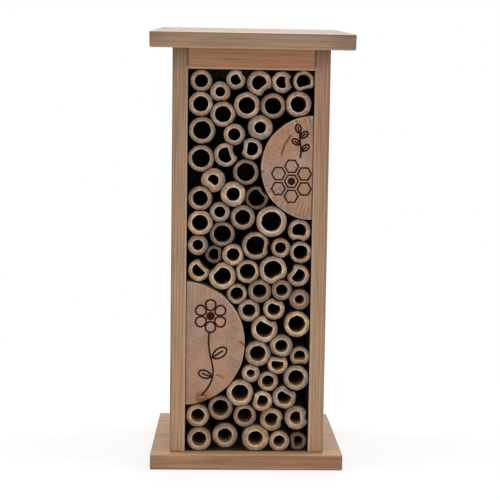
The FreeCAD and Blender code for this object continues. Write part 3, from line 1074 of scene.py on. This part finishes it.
def log_end_grain(name, pith, flat_side, radius, warmth, ray_strength, cracks, stains):
    """The end of a log. Warmth says how strongly its orange patches show."""
    material, here = new_finish(name)
    centred = here.node("Mapping", {"Vector": here, "Location": -pith})
    flat = centred.stretched(1, 0, 1)
    reach = flat.length()
    angle = reach.math("ARCTAN2", flat.part("Z"), flat.part("X"))
    rays = here.node("CombineXYZ", {0: angle * radius, 1: reach * 0.12}).speckle(ray_size, 3.0)
    bends = flat.speckle(log_bend_size)
    rings = late_wood((reach + log_ring_bend * (bends - 0.5)) / log_ring_width)
    mottle = flat.speckle(mottle_size, 4.0)
    orange, olive, pink = [flat.speckle(size, 3.0) for size in patch_sizes]
    grit = flat.speckle(grit_size, 3.0)
    near_rim = reach.rise(radius * 0.52, radius * 0.90)
    rim = reach.rise(*[radius - width for width in rim_width])
    joint = abs(here.part("X") - flat_side).rise(*joint_width)
    split = crack_marks(flat, cracks)

    colour = layered(
        blend(mottle.rise(0.36, 0.64), tone(176, 140, 120), tone(150, 121, 104)),
        (rings * 0.28, tone(116, 82, 62)),
        (orange.rise(0.46, 0.62) * warmth, tone(172, 124, 86)),
        (olive.rise(0.52, 0.70) * 0.5, tone(152, 126, 92)),
        (rays.rise(0.47, 0.62) * (0.12 + near_rim) * ray_strength, tone(132, 86, 52)),
        (rays.rise(0.44, 0.32) * near_rim * ray_strength * 0.6, tone(190, 156, 136)),
        (pink.rise(0.54, 0.72) * 0.4, tone(180, 140, 126)),
        (grit.rise(0.42, 0.68) * 0.5, tone(106, 76, 58)),
        (rim * 0.6, tone(196, 170, 150)),
        (joint * 0.75, tone(52, 34, 23)),
    )
    colour = layered(
        stained(colour, flat, stains),
        (split * 0.9, tone(94, 56, 28)),
        # painted shade: the sides of the logs darken further inside the box
        (here.part("Y").rise(*log_dusk) * 0.8, tone(40, 28, 20)),
    )
    height = grit * 0.6 + rays * near_rim * 0.6 - split * 2.0
    return give(material, colour, 0.62 + 0.16 * grit, height, log_relief)


print("a year's ring on a log is", round(log_ring_width / mm, 1), "mm wide")

# %% Both logs
upper_low, upper_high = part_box("upper_half_log")
lower_low, lower_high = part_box("lower_half_log")
lower_off_centre = 1.8 * mm
upper_pith = Vector((upper_high.x, 0, (upper_low.z + upper_high.z) / 2))
lower_pith = Vector((lower_low.x - lower_off_centre, 0, (lower_low.z + lower_high.z) / 2))
upper_radius = (upper_high.z - upper_low.z) / 2
lower_radius = lower_high.x - lower_pith.x

upper_finish = log_end_grain(
    "upper_log_end_grain", upper_pith, upper_high.x, upper_radius, warmth=0.6, ray_strength=0.85,
    cracks=[((-29.6, -2.0), (-31.4, -2.6), 0.5), ((-13.9, 19.2), (-17.4, 13.8), 0.95),
            ((-17.4, 13.8), (-19.2, 8.2), 0.95)],
    stains=[((-22, 12), 15, 2.0, tone(166, 112, 72), 0.6), ((-25, -3), 14, 2.0, tone(150, 121, 116), 0.65)],
)
lower_finish = log_end_grain(
    "lower_log_end_grain", lower_pith, lower_low.x, lower_radius, warmth=0.3, ray_strength=0.30,
    cracks=[((34.8, 1.4), (38.6, -1.2), 0.9), ((21.0, -19.0), (25.0, -21.0), 0.5)],
    stains=[((14, -24), 26, 8.0, tone(172, 124, 88), 0.5), ((12.0, -34.2), 9, 5.0, tone(160, 98, 52), 0.8),
            ((12.4, -34.0), 6, 1.3, tone(84, 38, 8), 0.9)],
)
half_log("upper_half_log", -1, upper_pith, upper_radius, upper_finish)
half_log("lower_half_log", 1, lower_pith, lower_radius, lower_finish)
print("log radii", round(upper_radius / mm, 1), round(lower_radius / mm, 1), "mm")

# %% [markdown]
# ## Burnt ornament
#
# A line drawing is burnt into the end of each log: here a daisy with two leaves on the lower log,
# and a few cells of honeycomb with a sprig of leaves on the upper one. Painting lines with shader
# nodes would take one sum for every stroke. A stroke is a curve with a round section, which is
# turned into a mesh and pressed almost flat on the wood.

# %% Burnt lines
burn_width = 1.3 * mm
flattening = 0.05
char_size = 0.9 * mm
char_relief = 0.05 * mm


def burnt_wood():
    """Charred wood: matt, dark brown, and nearly black in places."""
    material, here = new_finish("burnt_lines")
    char = here.speckle(char_size, 3.0)
    colour = blend(char.rise(0.35, 0.75), tone(30, 10, 4), tone(62, 29, 15))
    return give(material, colour, 0.75 + 0.15 * char, char, char_relief, specular=0.1)


def stroke(points, closed=False, straight=False):
    """A mesh of one burnt line through the x and z of some points, in millimetres."""
    path = bpy.data.curves.new("stroke", "CURVE")
    path.dimensions = "3D"
    path.bevel_depth = burn_width / 2
    path.bevel_resolution = 1
    path.resolution_u = 6
    path.use_fill_caps = True
    line = path.splines.new("POLY" if straight else "NURBS")
    line.points.add(len(points) - 1)
    for knot, (x, z) in zip(line.points, points):
        knot.co = (x * mm, 0, z * mm, 1)
    line.use_cyclic_u = closed
    if not straight:
        line.order_u = 4
        line.use_endpoint_u = not closed
    holder = bpy.data.objects.new("stroke", path)
    mesh = bpy.data.meshes.new_from_object(holder)
    bpy.data.objects.remove(holder)
    return mesh


def disc(x, z, radius):
    """A mesh of one burnt spot."""
    bm = bmesh.new()
    upright = Matrix.Translation((x * mm, 0, z * mm)) @ facing_front
    bmesh.ops.create_circle(bm, segments=24, radius=radius * mm, cap_ends=True, matrix=upright)
    solid = bmesh.ops.extrude_face_region(bm, geom=bm.faces[:], use_keep_orig=True)["geom"]
    raised = only(bmesh.types.BMVert, solid)
    bmesh.ops.translate(bm, vec=(0, -burn_width / 2, 0), verts=raised)
    mesh = bpy.data.meshes.new("spot")
    bm.to_mesh(mesh)
    bm.free()
    return mesh


def polar(x, z, reach, degrees):
    """The point at a distance and an angle from a point."""
    angle = math.radians(degrees)
    return x + reach * math.cos(angle), z + reach * math.sin(angle)


def closed_line(x, z, degrees, size, shape, straight=False):
    """A closed line round a point. Its shape has reaches and angles, which are scaled and turned."""
    points = [polar(x, z, size * reach, degrees + aside) for reach, aside in shape]
    return stroke(points, closed=True, straight=straight)


def ornament(name, log_node, origin, meshes):
    """Joins strokes and presses them on the end of a log. Origin is their x and z on it."""
    bm = bmesh.new()
    for mesh in meshes:
        bm.from_mesh(mesh)
    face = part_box(log_node)[0].y
    flatten = Matrix.Translation((origin[0], face, origin[1])) @ Matrix.Diagonal((1, flattening, 1, 1))
    bmesh.ops.transform(bm, matrix=flatten, verts=bm.verts)
    return finished_piece(bm, name, burnt_finish, "log_end_grain")


burnt_finish = burnt_wood()
print("burnt lines are", round(burn_width / mm, 1), "mm wide")

# %% A daisy
petal_shape = [(3.4, -14), (5.6, -30), (9.4, -22), (10.6, 0), (9.4, 22), (5.6, 30), (3.4, 14)]
leaf_shape = [(0.0, 0), (0.35, 42), (0.8, 22), (1.08, 0), (0.8, -22), (0.35, -42)]


def leaf(x, z, degrees, length):
    """The outline and the vein of a leaf that starts at a point."""
    vein = [(x, z), polar(x, z, length * 0.4, degrees + 3), polar(x, z, length * 0.75, degrees)]
    return [closed_line(x, z, degrees, length, leaf_shape), stroke(vein)]


petals = [closed_line(0, 0, 60 * k + 30, 1.0, petal_shape) for k in range(6)]
stem = stroke([(-0.6, -9.5), (-2.0, -20.0), (3.5, -31.0), (1.5, -42.0), (-5.0, -49.0)])
daisy = [disc(0, 0, 2.6), stem, *petals, *leaf(1.0, -26.0, 35, 11), *leaf(1.4, -37.5, 160, 9)]
daisy_place = (lower_low.x + 15 * mm, lower_pith.z + 17 * mm)
print(ornament("daisy_burnt_lines", "lower_half_log", daisy_place, daisy).name, "on the lower log")

# %% A honeycomb and a sprig
cell_side = 5.2
cell_line = 0.80 * cell_side
cell_shape = [(1.0, 60 * k) for k in range(6)]
cell_places = [(0, 0), (0, 1), (0, 2), (1, 0), (1, 1), (-1, 0), (-1, 1)]


def cell_middle(column, row):
    """The middle of one cell of a honeycomb."""
    return column * cell_side * 1.5, (row + 0.5 * (column % 2)) * cell_side * math.sqrt(3)


comb = [disc(*cell_middle(0, 1), cell_side * 0.45)]
for place in cell_places:
    comb.append(closed_line(*cell_middle(*place), 0, cell_line, cell_shape, straight=True))
sprig = [stroke([(5.0, 23.0), (6.4, 28.0), (4.2, 33.0), (4.6, 38.0)])]
for x, z, degrees in ((5.6, 27.0, 40), (5.1, 31.0, 150), (4.5, 35.0, 35), (4.5, 37.4, 105)):
    sprig += leaf(x, z, degrees, 6.0)
comb_place = (upper_high.x - 13 * mm, upper_pith.z - 17 * mm)
honeycomb = ornament("honeycomb_burnt_lines", "upper_half_log", comb_place, comb + sprig)
print(honeycomb.name, "on the upper log")

# %% [markdown]
# ## Sizes, and the end
#
# The finished pieces must not grow past the solids they stand for.
